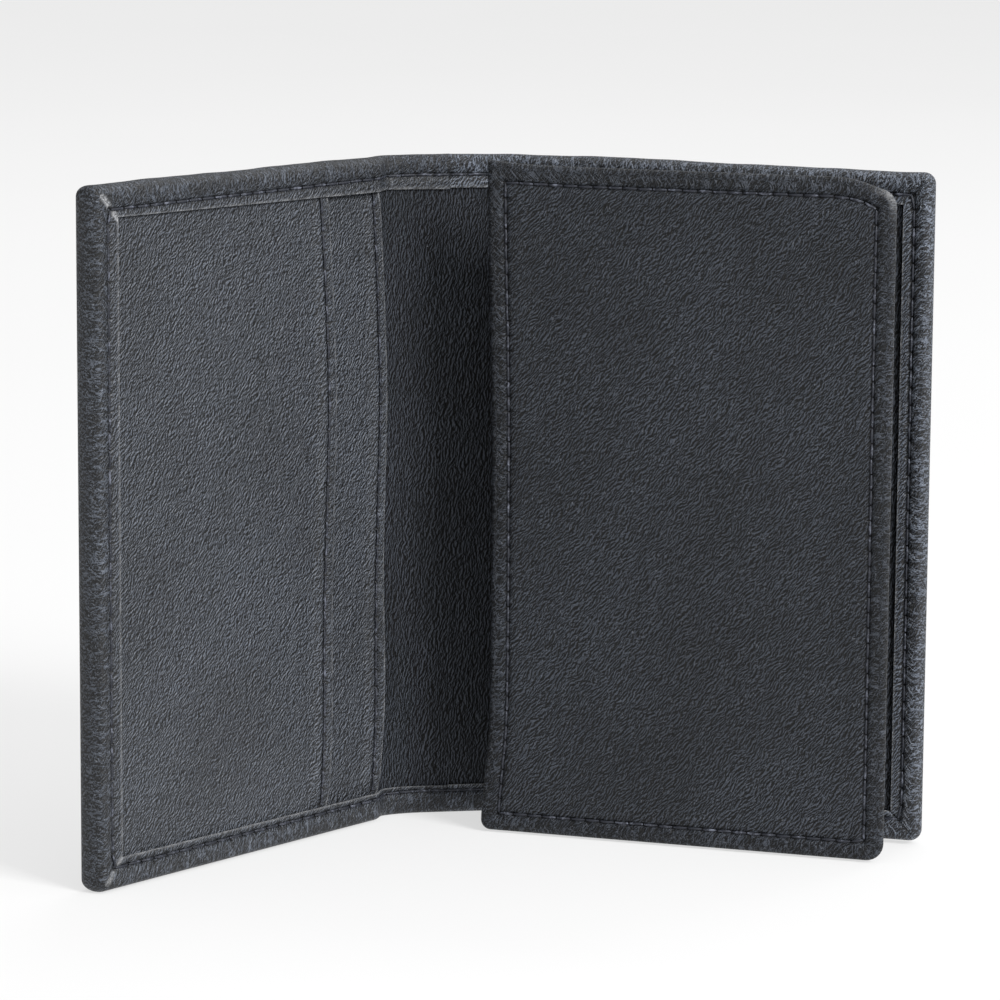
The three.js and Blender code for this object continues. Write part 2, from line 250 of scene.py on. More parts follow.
def ring(width, height, radii, inset, closed=False):
    """Points round a rectangle, inside its outline: the low edge, fore edge, high edge and, if
    closed, the mouth edge. inset holds (low, fore, high) and each of low and high is a pair,
    at the mouth end and at the fore end. radii are low fore, high fore, high mouth, low mouth."""
    (low_a, low_b), fore, (high_a, high_b) = inset
    across, up = shares(width), shares(height)
    x0 = fore if closed else 0.0
    x1 = width - fore
    room = max((min(width, height) if closed else height) / 2 - max(low_b, fore, high_b), 0)
    rho = [min(max(r - d, SHARP), room) for r, d in zip(radii, (low_b, high_b, high_a, low_a))]
    if closed:
        xs_low = x0 + rho[3] + across * (x1 - rho[0] - x0 - rho[3])
        xs_high = x0 + rho[2] + across * (x1 - rho[1] - x0 - rho[2])
    else:
        xs_low, xs_high = (stretched(across * width, width, x1 - r) for r in rho[:2])
    z_low = low_a + (low_b - low_a) * across
    z_high = height - (high_a + (high_b - high_a) * across)
    arc = np.linspace(0, math.pi / 2, ARC_STEPS)[1:-1]

    def corner(x, z, radius, start):
        return x + radius * np.cos(start + arc), z + radius * np.sin(start + arc)

    fore_z = low_b + rho[0] + up * (height - high_b - rho[1] - low_b - rho[0])
    parts = [
        (xs_low, z_low),
        corner(x1 - rho[0], low_b + rho[0], rho[0], -math.pi / 2),
        (np.full_like(up, x1), fore_z),
        corner(x1 - rho[1], height - high_b - rho[1], rho[1], 0),
        (xs_high[::-1], z_high[::-1]),
    ]
    if closed:
        mouth_z = height - high_a - rho[2] - up * (height - high_a - rho[2] - low_a - rho[3])
        parts += [
            corner(x0 + rho[2], height - high_a - rho[2], rho[2], math.pi / 2),
            (np.full_like(up, x0), mouth_z),
            corner(x0 + rho[3], low_a + rho[3], rho[3], math.pi),
        ]
    return np.concatenate([p[0] for p in parts]), np.concatenate([p[1] for p in parts])


def even(inset):
    return (inset, inset), inset, (inset, inset)


def path_length(x, z):
    return np.concatenate([[0], np.cumsum(np.hypot(np.diff(x), np.diff(z)))])


def stitch_ends(x, z, pitch):
    """Where the thread dives, evenly spaced along a seam."""
    run = path_length(x, z)
    count = max(2, round(run[-1] / pitch))
    at = np.linspace(0, run[-1], count + 1)
    return np.stack([np.interp(at, run, x), np.interp(at, run, z)], axis=-1)


def nearness(x, z, points, radius):
    """1 at any of the points, falling off over a radius."""
    flat = np.stack([np.ravel(x), np.ravel(z)], axis=-1)
    nearest = np.full(len(flat), 1e9)
    for point in points:
        nearest = np.minimum(nearest, ((flat - point) ** 2).sum(-1))
    return np.exp(-nearest / radius**2).reshape(np.shape(x))


# ---------------------------------------------------------------- thread
THREAD = 0.2
THREAD_RISE = 0.16
THREAD_SINK = 0.12


def thread(name, ends, to_place, surface):
    """Lockstitches between the dives in ends. to_place turns two plan coordinates and a depth
    into a place, and surface gives the depth of the seam's bed."""
    turns = np.linspace(0, 2 * math.pi, 7)[:-1]
    steps = np.linspace(0.06, 0.94, 7)
    points, rest, faces = [], [], []
    rng = np.random.default_rng(5)
    for a, b in zip(ends[:-1], ends[1:]):
        lean = rng.uniform(-0.05, 0.05)
        across = np.array([-(b - a)[1], (b - a)[0]]) / np.linalg.norm(b - a)
        for index, t in enumerate(steps):
            swell = math.sin(math.pi * t)
            wide = THREAD * (0.35 + 0.65 * math.sqrt(swell))
            side = across[None] * (wide * np.cos(turns) + lean * swell)[:, None]
            x, z = ((a + (b - a) * t)[None] + side).T
            n = surface(x, z) - THREAD_SINK + THREAD_RISE * swell + wide * 0.8 * np.sin(turns)
            points.append(to_place(x, z, n))
            rest.append(np.stack([x, z, n], axis=-1))
            if index:
                start = (len(points) - 2) * len(turns)
                faces += grid_faces(2, len(turns), close_cols=True, start=start)
        first = (len(points) - len(steps)) * len(turns)
        last = (len(points) - 1) * len(turns)
        faces.append(list(range(first, first + len(turns))))
        faces.append(list(range(last, last + len(turns))))
    points, rest = np.concatenate(points), np.concatenate(rest)
    return mesh_piece(name, points, faces, rest, np.zeros_like(rest), rest)


# ---------------------------------------------------------------- outer leather
# The seam's groove and stitch holes are this deep. The seam, the lip's cut edge and the end of
# the rolled rim are this far from the rim in a plain row
GROOVE = 0.2
PIT = 0.34
SEAM_AT = 3.9
EDGE_AT = 4.95
ROLL = 1.1
COVER_PITCH = 2.75
PANEL_PITCH = 2.35
HEM_PITCH = 2.8

# Insets of the cover's rows: the outside from its middle out, the lip's face from the rim in,
# its underside, and the floor under the boards back to the middle
OUTSIDE_STEPS = (HEIGHT / 2, 46, 40, 34, 28, 22, 17, 12, 8, 5.5, 4, 2.8, 1.9)
STRIP_STEPS = (1.3, 1.7, 2.2, 2.7, 3.1, 3.35, 3.55, 3.7, 3.8, 3.9, 4.0, 4.12, 4.27, 4.45, 4.65,
               4.82, 4.92)
UNDER_STEPS = (4.6, 3.0, 1.35)
FLOOR_STEPS = (1.1, 3.0, 9.0, 17.0, 25.0, 34.0, 43.0, HEIGHT / 2)


def warped(inset, seam, edge):
    """Moves the seam and the raw edge of the lip to their own distances from the rim."""
    plain, moved = [ROLL, SEAM_AT, EDGE_AT, 8.0], [ROLL, seam, edge, 8.0 + edge - EDGE_AT]
    return float(np.interp(inset, plain, moved))


def lip_inset(inset, seams):
    """The ring insets of a row. seams: low and high hold (seam, edge) at the mouth and at the
    fore end, and fore holds one (seam, edge)."""
    if inset <= ROLL or inset > EDGE_AT + 0.1:
        return even(inset)
    low = tuple(warped(inset, *pair) for pair in seams["low"])
    high = tuple(warped(inset, *pair) for pair in seams["high"])
    return low, warped(inset, *seams["fore"]), high


SEAMS = {
    "left": {
        "low": ((3.7, 4.5), (3.6, 4.9)), "fore": (3.0, 5.1), "high": ((3.1, 5.4), (3.6, 4.8)),
    },
    "right": {
        "low": ((3.7, 4.6), (3.6, 4.8)), "fore": (2.9, 4.6), "high": ((3.1, 5.2), (3.4, 4.9)),
    },
}


def cover_rows():
    """(inset, depth at the outer face, share of the lip's depth, where the lip is) row by row."""
    rows = []
    for inset in OUTSIDE_STEPS:
        rows.append((inset, -OUTER, 0.0, "outside"))
    for angle in np.radians(np.linspace(-84, 84, 15)):
        share = (1 + math.sin(angle)) / 2
        rows.append((ROLL * (1 - math.cos(angle)), -OUTER * (1 - share), share, "roll"))
    for inset in STRIP_STEPS:
        rows.append((inset, 0.0, 1.0, "strip"))
    rows.append((EDGE_AT, -0.2, 1.0, "raw"))
    rows.append((EDGE_AT - 0.02, -0.8, 1.0, "raw"))
    for inset in UNDER_STEPS:
        rows.append((inset, -1.0, 1.0, "under"))
    for inset in FLOOR_STEPS:
        rows.append((inset, 0.0, 0.0, "floor"))
    return rows


def outer_leather(name, side):
    """The outer sheet from the middle of the spine to a fore edge, turned over three edges."""
    sign = 1 if side == "right" else -1
    radii = [COVER_CORNER] * 4
    seams = SEAMS[side]
    seam_x, seam_z = ring(REACH, HEIGHT, radii, lip_inset(SEAM_AT, seams))
    ends = stitch_ends(seam_x, seam_z, COVER_PITCH)
    rim_x, rim_z = ring(REACH, HEIGHT, radii, even(0))
    along = path_length(rim_x, rim_z)
    seed = 3 if side == "right" else 11
    points, rest, marks, edge = [], [], [], []
    across = 0.0
    before = None
    for inset, base, share, part in cover_rows():
        x, z = ring(REACH, HEIGHT, radii, lip_inset(inset, seams))
        s = MID_SPINE + sign * x
        top = lip_top(s)
        n = np.full_like(x, base) + share * top
        dark, raw, rolled = np.zeros_like(x), np.zeros_like(x), np.zeros_like(x)
        in_from_fore = REACH - x
        mitre = np.minimum(np.abs(in_from_fore - z), np.abs(in_from_fore - (HEIGHT - z))) / 1.414
        if part == "under":
            n = top - lip_thickness(s)
        if part == "raw":
            n = top + base * lip_thickness(s)
            raw = 0.75 + 0.25 * wobble(along, seed + 7, 9)
        if part in ("strip", "roll"):
            lift = math.sin(math.pi * np.clip((inset - 0.2) / (SEAM_AT - 0.4), 0, 1)) ** 0.8
            pillow = 0.22 + 0.05 * wobble(along, seed, 17) + 0.03 * wobble(along, seed + 1, 5)
            n = n + share * lift * pillow
            rolled = np.full_like(x, share * (1 - ease(inset, SEAM_AT - 1.2, SEAM_AT)))
        if part == "strip":
            groove = math.exp(-(((inset - SEAM_AT) / 0.3) ** 2))
            pits = nearness(x, z, ends, 0.42)
            broad = nearness(x, z, ends, 0.95)
            n = n - GROOVE * groove - PIT * pits - 0.07 * broad
            crease = hump(mitre, 0, 0.16) * ease(in_from_fore, 0.6, 1.4) * (in_from_fore < 6)
            n = n - 0.22 * crease
            # Painted shade: the stitch holes and the seam's groove are painted towards near black
            dark = np.clip(1.25 * pits + 0.5 * groove, 0, 1)
            near_edge = ease(inset, EDGE_AT - 0.22, EDGE_AT - 0.02)
            raw = 0.55 * near_edge * (0.6 + 0.4 * wobble(along, seed + 7, 6))
            if side == "left":
                cut_line = hump(mitre, 0.12, 0.3) * (in_from_fore < 5.6)
                cut_line = cut_line * ease(in_from_fore, 0.8, 1.3)
                high = z > HEIGHT / 2
                raw = np.maximum(raw, cut_line * np.where(high, 1.0, 0.55) * (1 - pits))
        if part == "outside":
            rolled = np.full_like(x, 0.25 * (1 - ease(inset, 2, 5)))
        z = z + 0.10 * wobble(along, seed + 2, 31) * (inset < 1.2) * (z > HEIGHT / 2)
        here = place(s, z, n)
        if before is not None:
            across += float(np.median(np.linalg.norm(here - before, axis=-1)))
        before = here
        points.append(here)
        rest.append(np.stack([s, z, n], axis=-1))
        marks.append(np.stack([dark, raw, rolled], axis=-1))
        edge.append(np.stack([along, np.full_like(along, across), np.zeros_like(along)], axis=-1))
    rows, cols = len(points), len(points[0])
    faces = grid_faces(rows, cols)
    cap = [r * cols for r in range(rows)] + [r * cols + cols - 1 for r in reversed(range(rows))]
    faces.append(cap)
    stack = [np.concatenate(a) for a in (points, rest, marks, edge)]
    return mesh_piece(name, stack[0], faces, *stack[1:]), ends


# ---------------------------------------------------------------- layers inside
def loop_piece(name, s, n, z, lift=None, marks=None, shift=None):
    """A sheet given by a closed loop in s and n, carried up the height. lift(s, z, n) adds
    depth, shift(s, z) moves it along s, and marks(s, z, n) gives what the material reads."""
    grid_s, grid_z = np.meshgrid(s, z, indexing="ij")
    grid_n = np.repeat(np.asarray(n, float)[:, None], len(z), axis=1)
    if lift is not None:
        grid_n = grid_n + lift(grid_s, grid_z, grid_n)
    moved = grid_s if shift is None else grid_s + shift(grid_s, grid_z)
    points = place(moved, grid_z, grid_n)
    rest = np.stack([moved, grid_z, grid_n], axis=-1)
    mark = np.zeros_like(rest) if marks is None else marks(grid_s, grid_z, grid_n)
    edge = np.stack([grid_z, grid_s, np.zeros_like(grid_s)], axis=-1)
    rows, cols = grid_s.shape
    faces = grid_faces(rows, cols, close_rows=True)
    faces.append([r * cols for r in range(rows)])
    faces.append([r * cols + cols - 1 for r in range(rows)])
    flat = [a.reshape(-1, 3) for a in (points, rest, mark, edge)]
    return mesh_piece(name, flat[0], faces, *flat[1:])


def sheet_loop(s, bottom, top):
    """A loop that runs out along the underside and back along the face."""
    return np.concatenate([s, s[::-1]]), np.concatenate([bottom(s), top(s)[::-1]])


def even_z(step):
    return np.linspace(MARGIN, HEIGHT - MARGIN, round((HEIGHT - 2 * MARGIN) / step) + 1)


def level(depth):
    return lambda s: 0 * s + depth


def lining_face(s):
    """Face of the lining: 0.9 deep in the spine and 1.2 on the covers' boards."""
    return 0.9 + 0.3 * np.maximum(ease(-s - SPINE, 0.5, 4), ease(s, 0.8, 4.6))


def lining_creases(s, z, n):
    """Fine upright creases where the lining bends, on its face only."""
    soft = ease(s, -SPINE - 3, -SPINE + 2) * (1 - ease(s, 2, 7))
    face = n > lining_face(s) - 0.2
    drift = 0.7 * wobble(z, 21, 60)
    fold = 0.05 * wobble(s + drift, 22, 3.1) + 0.035 * wobble(s - drift, 23, 1.3)
    bulge = 0.55 * hump(s, -SPINE + 1.9, 1.3) * hump(z, 22, 17)
    return face * (soft * fold * (0.7 + 0.3 * wobble(z, 24, 22)) + bulge)


LINING = 0.4


def lining(name, s0, s1):
    s = np.linspace(s0, s1, round(abs(s1 - s0) / 0.3) + 1)
    s_loop, n_loop = sheet_loop(s, lambda v: lining_face(v) - LINING, lining_face)
    return loop_piece(name, s_loop, n_loop, even_z(0.8), lift=lining_creases)


def spine_interlining():
    """The spine's stiffener in two halves, one for each crease."""
    s = np.linspace(-SPINE + 1, -1, 60)
    halves = []
    for side, keep in (("left", s <= MID_SPINE + 0.2), ("right", s >= MID_SPINE - 0.2)):
        s_loop, n_loop = sheet_loop(s[keep], level(0.1), level(0.4))
        halves.append(loop_piece(f"spine_interlining_{side}", s_loop, n_loop, even_z(3.0)))
    return halves


# The slots' mouths by height, and how far each point lies from a straight mouth
SLOT_BOW = ((0, 1.9), (14, 0.7), (34, 0.8), (68, -0.6), (88, 0.5), (HEIGHT, 2.0))
# Where the sheets of the left cover start, measured from its crease, and where they end
SLOT_BACK_AT = 1.9
SLOT_INNER_AT = 2.0
SLOT_OUTER_AT = 14.8
SLOT_INNER_END = 24.0
SLOT_END = COVER - MARGIN


def slot_shift(s, z):
    """The slots' mouths bow: their ends lie further from the crease than their middles."""
    at, by = zip(*SLOT_BOW)
    fine = np.linspace(0, HEIGHT, 211)
    bow = np.interp(fine, at, by)
    kernel = hump(np.arange(-30, 31), 0, 12)
    bow = np.convolve(np.pad(bow, 30, mode="edge"), kernel / kernel.sum(), mode="valid")
    return -np.interp(z, fine, bow) * (1 - ease(-s - SPINE, 26, 55))


HEM_SEAM = 1.9
HEM_RISE = 0.45
SLOT_LEATHER = 0.5
# Distances from a slot's mouth, close together at its rim and its seam
HEM_STEPS = (0.0, 0.06, 0.18, 0.36, 0.6, 0.9, 1.2, 1.45, 1.6, 1.72, 1.82, 1.9, 1.98, 2.08, 2.2,
             2.35, 2.6, 2.95, 3.3, 3.7, 4.1, 4.6, 5.4, 6.6)


def hemmed_slot(name, mouth, end, back, seed, gape):
    """Slot leather from its mouth towards the fore edge, its mouth turned under and sewn.
    mouth and end are distances from the left crease, back is its underside's depth, and gape
    is how far the mouth stands open low down."""
    far = np.linspace(8.0, end - mouth, max(3, round((end - mouth - 8) / 1.5)))
    u = np.concatenate([HEM_STEPS, far])
    rim = np.sqrt(np.clip(1 - (1 - np.clip(u / 0.42, 0, 1)) ** 2, 0, 1))
    height = SLOT_LEATHER + HEM_RISE * (1 - ease(u, 2.6, 4.4)) + 0.1 * hump(u, 1.0, 0.7)
    face = back + height * (0.5 + 0.5 * rim)
    under = back + 0.5 * height * (1 - rim)
    z = even_z(0.4)
    ends_z = np.linspace(5.0, HEIGHT - 5.0, round((HEIGHT - 10) / HEM_PITCH) + 1)
    ends = np.stack([np.full_like(ends_z, HEM_SEAM), ends_z], axis=-1)

    def opened(at, z):
        return gape * hump(at, 0, 1.6) * hump(z, 24, 15) * (z < 60)

    def depth(s, z, n):
        at = -s - SPINE - mouth
        on_face = n > back + 0.3
        groove = GROOVE * hump(at, HEM_SEAM, 0.3)
        pits = nearness(at, z, ends, 0.34)
        broad = nearness(at, z, ends, 0.9)
        softly = 0.05 * wobble(z, seed, 13) * hump(at, 0.9, 1.0)
        # Under the lip the ends are pressed flat.
        free = ease(z, 4.2, 7.5) * ease(HEIGHT - z, 4.2, 7.5)
        pressed = (n - back - SLOT_LEATHER) * (1 - free) * (n > back + SLOT_LEATHER)
        sewn = on_face * (free * (softly - 0.24 * pits - 0.05 * broad - groove))
        return sewn + free * opened(at, z) - pressed

    def mark(s, z, n):
        at = -s - SPINE - mouth
        face_only = n > back + 0.3
        pits = nearness(at, z, ends, 0.32)
        # Painted shade: the stitch holes and the hem's groove are painted towards near black
        dark = np.clip(1.3 * pits + 0.6 * hump(at, HEM_SEAM, 0.26), 0, 1) * face_only
        worn = 0.6 * hump(at, 0.25, 0.2) * (0.6 + 0.4 * wobble(z, seed + 3, 8))
        rolled = 0.5 * (1 - ease(at, 1.4, 2.4))
        return np.stack([dark, np.clip(worn, 0, 1), rolled], axis=-1)

    s = -SPINE - mouth - u
    s_loop = np.concatenate([s, s[::-1][:-1]])
    n_loop = np.concatenate([under, face[::-1][:-1]])
    piece = loop_piece(name, s_loop, n_loop, z, lift=depth, marks=mark, shift=slot_shift)

    def to_place(x, zz, n):
        base = -SPINE - mouth - x
        return place(base + slot_shift(base, zz), zz, n)

    def surface(x, zz):
        return back + SLOT_LEATHER + HEM_RISE - 0.01 + opened(x, zz)

    return piece, (ends, to_place, surface)


def slot_back_sheet():
    """The third sheet, behind the slots, worn pale along its free edge."""
    s0, s1 = -SPINE - SLOT_END, -SPINE - SLOT_BACK_AT
    s = np.linspace(s0, s1, round(abs(s1 - s0) / 0.5) + 1)
    s_loop, n_loop = sheet_loop(s, level(1.3), level(1.7))

    def mark(grid_s, z, n):
        light = 0.8 * hump(grid_s, s1, 0.5) * (0.7 + 0.3 * wobble(z, 41, 9))
        return np.stack([0 * light, light, 0 * light], axis=-1)

    return loop_piece("slot_back", s_loop, n_loop, even_z(1.2), marks=mark, shift=slot_shift)


# ---------------------------------------------------------------- pocket panel
PANEL_W = PANEL_FORE - PANEL_MOUTH
PANEL_H = PANEL_HIGH - PANEL_LOW
PANEL_RADII = (2.7, 2.0, 0.9, 1.6)
PANEL_ROLL = 0.95
PANEL_SEAM_AT = 2.9
PANEL_GROOVE = 0.16
# Its face lies under the CAD's front, which leaves room for the puff of the leather
PANEL_FACE = PANEL_FRONT - 0.15
# Insets of the front's rows, and of the floor under the board
PANEL_STEPS = (PANEL_W / 2, 26, 20, 14, 9, 6.5, 5.2, 4.4, 3.9, 3.55, 3.3, 3.15, 3.03, 2.9, 2.77,
               2.65, 2.5, 2.3, 2.05, 1.75, 1.4, 1.1)
PANEL_FLOOR_STEPS = (1.2, 6, 16, PANEL_W / 2)
# The lip on the panel's back ends this far in, and its lining starts a little further
PANEL_LIP = 6.0
PANEL_LINING_AT = 6.2


def panel_warp(x, z):
    """The panel's true outline: hollow mouth, a high mouth corner that lifts and a high fore
    corner that droops. x and z are from the low mouth corner."""
    towards_mouth = 1 - ease(x, 0, 16)
    bow = 0.25 - 1.0 * hump(z, PANEL_H, 26) - 1.5 * hump(z, 0, 12)
    droop = 2.3 * ease(x, PANEL_W - 10, PANEL_W + 1.5) ** 1.3 * ease(z, PANEL_H - 22, PANEL_H)
    lift = 0.75 * np.exp(-np.clip(x, 0, None) / 4.0) * ease(z, PANEL_H - 16, PANEL_H)
    return x + towards_mouth * bow, z - droop + lift


def panel_rows():
    """(inset, depth, part) for the panel's leather, from its front to its turned back lip."""
    mid = (PANEL_FRONT + PANEL_BACK) / 2
    half = (PANEL_FRONT - PANEL_BACK) / 2 - 0.08
    rows = [(inset, PANEL_FACE, "front") for inset in PANEL_STEPS]
    for angle in np.radians(np.linspace(78, -84, 14)):
        rows.append((PANEL_ROLL * (1 - math.cos(angle)), mid + half * math.sin(angle), "roll"))
    for inset in (1.6, 3.0, 5.7):
        rows.append((inset, PANEL_BACK + 0.05, "back"))
    rows.append((PANEL_LIP, PANEL_BACK + 0.2, "raw"))
    rows.append((PANEL_LIP, PANEL_BACK + 0.55, "raw"))
    for inset in (5.0, 1.3):
        rows.append((inset, PANEL_BACK + 0.6, "under"))
    for inset in PANEL_FLOOR_STEPS:
        rows.append((inset, PANEL_FRONT - 0.8, "floor"))
    return rows


def panel_seam_ends():
    x, z = panel_warp(*ring(PANEL_W, PANEL_H, PANEL_RADII, even(PANEL_SEAM_AT), closed=True))
    return stitch_ends(np.append(x, x[0]), np.append(z, z[0]), PANEL_PITCH)


def panel_leather():
    ends = panel_seam_ends()
    rim = ring(PANEL_W, PANEL_H, PANEL_RADII, even(0), closed=True)
    along = path_length(*rim)
    points, rest, marks, edge = [], [], [], []
    for inset, depth, part in panel_rows():
        flat_x, flat_z = ring(PANEL_W, PANEL_H, PANEL_RADII, even(inset), closed=True)
        x, z = panel_warp(flat_x, flat_z)
        n = np.full_like(x, depth)
        dark, raw, rolled = (np.zeros_like(x) for _ in range(3))
        if part == "front":
            pits = nearness(x, z, ends, 0.42)
            broad = nearness(x, z, ends, 0.9)
            groove = float(hump(inset, PANEL_SEAM_AT, 0.27))
            puff = 0.17 * float(hump(inset, 1.7, 0.8)) + 0.1 * float(hump(inset, 4.6, 1.4))
            n = n + puff - PANEL_GROOVE * groove - 0.26 * pits - 0.06 * broad
            # Painted shade: the stitch holes and the seam's groove are painted towards near black
            dark = np.clip(1.2 * pits + 0.45 * groove, 0, 1)
            rolled = np.full_like(x, 1 - float(ease(inset, 2.0, PANEL_SEAM_AT)))
        if part == "roll":
            rolled = np.ones_like(x)
            under_face = PANEL_FRONT - depth
            behind = ease(under_face, 0.95, 1.25) * (1 - ease(under_face, 1.4, 1.75))
            high = ease(flat_z, PANEL_H - 1.5, PANEL_H - 0.6)
            fore = ease(flat_x, PANEL_W - 1.2, PANEL_W - 0.5)
            # The back half of the roll on the high and fore rims, the rims that face the key lamp,
            # takes the raw-edge colour: partly wear, partly a painted highlight; the high fore
            # corner is worn
            raw = behind * np.maximum(high, fore) * (0.8 + 0.2 * wobble(along, 51, 11))
            corner = hump(flat_x, PANEL_W, 2.4) * hump(flat_z, PANEL_H, 2.4)
            raw = np.clip(raw + 0.6 * corner, 0, 1)
        if part == "raw":
            raw = 0.6 * np.ones_like(x)
        points.append(place_flat(PANEL_MOUTH + x, PANEL_LOW + z, n))
        rest.append(np.stack([x, z, n], axis=-1))
        marks.append(np.stack([dark, raw, rolled], axis=-1))
        across = np.full_like(along, inset - 2 * (part != "front"))
        edge.append(np.stack([along, across, 0 * along], axis=-1))
    faces = grid_faces(len(points), len(points[0]), close_cols=True)
    stack = [np.concatenate(a) for a in (points, rest, marks, edge)]
    return mesh_piece("panel_leather_sewn", stack[0], faces, *stack[1:]), ends


def ring_sheet(rows, width, height, radii, to_place, closed):
    """The points of a sheet whose rows are (inset, depth), each a ring round a rectangle."""
    points, rest, edge = [], [], []
    rim = path_length(*ring(width, height, radii, even(0), closed))
    for inset, depth in rows:
        x, z = ring(width, height, radii, even(inset), closed)
        points.append(to_place(x, z, np.full_like(x, depth)))
        rest.append(np.stack([x, z, np.full_like(x, depth)], axis=-1))
        edge.append(np.stack([rim, np.full_like(rim, depth), 0 * rim], axis=-1))
    return len(points), len(points[0]), [np.concatenate(a) for a in (points, rest, edge)]


def panel_lining():
    def to_place(x, z, n):
        warped_x, warped_z = panel_warp(x, z)
        return place_flat(PANEL_MOUTH + warped_x, PANEL_LOW + warped_z, n)

    face = PANEL_BACK + 0.12
    rows = [(PANEL_W / 2, face), (20, face), (8, face), (PANEL_LINING_AT, face + 0.1),
            (PANEL_LINING_AT, face + 0.5), (8, face + 0.55), (20, face + 0.55),
            (PANEL_W / 2, face + 0.55)]
    height, around, (points, rest, edge) = ring_sheet(
        rows, PANEL_W, PANEL_H, PANEL_RADII, to_place, True)
    faces = grid_faces(height, around, close_cols=True)
    return mesh_piece("panel_lining_sheet", points, faces, rest, 0 * rest, edge)


# ---------------------------------------------------------------- gusset
GUSSET_START = low_corner("pocket_gusset")[0] - RIGHT_CREASE[0]
GUSSET_FRONT = RIGHT_CREASE[1] - low_corner("pocket_gusset")[1]
GUSSET_RADII = (4.0,) * 4
GUSSET_LEATHER = 0.42
# Depth of its back face on the right cover, and the gap in front of it
GUSSET_BACK = 1.32
GUSSET_GAP = 0.06


def gusset_profile():
    """The folded strip's line across its width, as (inset, depth) from the cover to the panel."""
    back, front = GUSSET_BACK, GUSSET_FRONT - GUSSET_GAP - GUSSET_LEATHER
    fold = (back + front) / 2
    line = [(2.0, back), (3.6, back), (5.2, back + 0.05), (5.9, back + 0.5)]
    for t in np.linspace(0.1, 0.9, 7):
        line.append((6.0 + 4.9 * float(ease(t, -0.1, 1.1)), back + 0.5 + (fold - back - 0.9) * t))
    line += [(11.1, fold - 0.35), (11.35, fold), (11.1, fold + 0.35)]
    for t in np.linspace(0.1, 0.9, 7):
        line.append((10.9 - 6.6 * float(ease(t, -0.1, 1.1)), fold + 0.4 + (front - fold - 0.9) * t))
    line += [(4.0, front - 0.45), (3.8, front - 0.15), (4.1, front), (5.4, front), (6.6, front)]
    return np.array(line)


def gusset():
    """A strip of thin leather round three sides of the pocket, folded inwards in a V."""
    outer = gusset_profile()
    step = np.gradient(outer, axis=0)
    step /= np.linalg.norm(step, axis=1)[:, None]
    inner = outer + GUSSET_LEATHER * np.column_stack([-step[:, 1], step[:, 0]])
    front, fold = outer[-1, 1] + GUSSET_LEATHER, outer[:, 1].mean()
    width = COVER - GUSSET_START

    def to_place(x, z, n):
        pleat = 0.35 * np.sin(x * 1.9) * hump(width - x, 6, 5)
        slack = 0.25 * wobble(z, 61, 40) * hump(n, fold, 3)
        pleated = z + 0.15 * pleat * (n > 2.2) * (n < front - 0.6)
        return place_flat(GUSSET_START + x - slack, pleated, n)

    rows, cols, (points, rest, edge) = ring_sheet(
        np.concatenate([outer, inner[::-1]]), width, HEIGHT, GUSSET_RADII, to_place, False)
    faces = grid_faces(rows, cols, close_rows=True)
    faces.append([r * cols for r in range(rows)])
    faces.append([r * cols + cols - 1 for r in range(rows)])
    return mesh_piece("pocket_gusset_leather", points, faces, rest, np.zeros_like(rest), edge)


# ---------------------------------------------------------------- materials
class Shader:
    """A material's node tree, built one node at a time. In add, an input is given by its name
    with _ for a space, or by i and its number."""

    def __init__(self, name):
        self.material = bpy.data.materials.new(name)
        self.material.use_nodes = True
        self.tree = self.material.node_tree
        self.tree.nodes.clear()

    def add(self, kind, settings=None, **inputs):
        node = self.tree.nodes.new("ShaderNode" + kind)
        for key, value in (settings or {}).items():
            setattr(node, key, value)
        for key, value in inputs.items():
            numbered = key[0] == "i" and key[1:].isdigit()
            self.feed(node.inputs[int(key[1:]) if numbered else key.replace("_", " ")], value)
        return node

    def feed(self, socket, value):
        if isinstance(value, bpy.types.NodeSocket):
            self.tree.links.new(value, socket)
        else:
            socket.default_value = value

    def math(self, operation, a, b=0.0, clamp=False):
        return self.add("Math", {"operation": operation, "use_clamp": clamp}, i0=a, i1=b).outputs[0]

    def plus(self, *values):
        total = values[0]
        for value in values[1:]:
            total = self.math("ADD", total, value)
        return total

    def times(self, a, b):
        return self.math("MULTIPLY", a, b)

    def off_centre(self, value):
        """How far a noise is from its middle value."""
        return self.math("ABSOLUTE", self.math("SUBTRACT", value, 0.5))

    def attribute(self, name):
        return self.add("Attribute", {"attribute_name": name}).outputs["Vector"]

    def scaled(self, vector, scale, turn=0.0):
        kind = {"vector_type": "POINT"}
        turned = self.add("Mapping", kind, Vector=vector, Rotation=(0, 0, turn))
        return self.add("Mapping", kind, Vector=turned.outputs[0], Scale=scale).outputs[0]

    def noise(self, vector, scale, detail=3.0, roughness=0.5, distortion=0.0):
        return self.add("TexNoise", None, Vector=vector, Scale=scale, Detail=detail,
                        Roughness=roughness, Distortion=distortion).outputs[0]

    def spread(self, value, low, high, to_low=0.0, to_high=1.0):
        return self.add("MapRange", {"interpolation_type": "SMOOTHSTEP"}, Value=value,
                        From_Min=low, From_Max=high, To_Min=to_low, To_Max=to_high).outputs[0]

    def mix(self, share, a, b, blend="MIX"):
        node = self.add("Mix", {"data_type": "RGBA", "blend_type": blend})
        for index, value in zip((0, 6, 7), (share, a, b)):
            self.feed(node.inputs[index], value)
        return node.outputs[2]

    def finish(self, colour, roughness, height, bump, distance, specular, glow=0.0):
        relief = self.add("Bump", None, Strength=bump, Distance=distance, Height=height)
        surface = self.add("BsdfPrincipled", None, Base_Color=colour, Roughness=roughness,
                           Normal=relief.outputs[0], Specular_IOR_Level=specular,
                           Emission_Color=(1, 1, 1, 1), Emission_Strength=glow)
        self.add("OutputMaterial", None, Surface=surface.outputs[0])
        return self.material


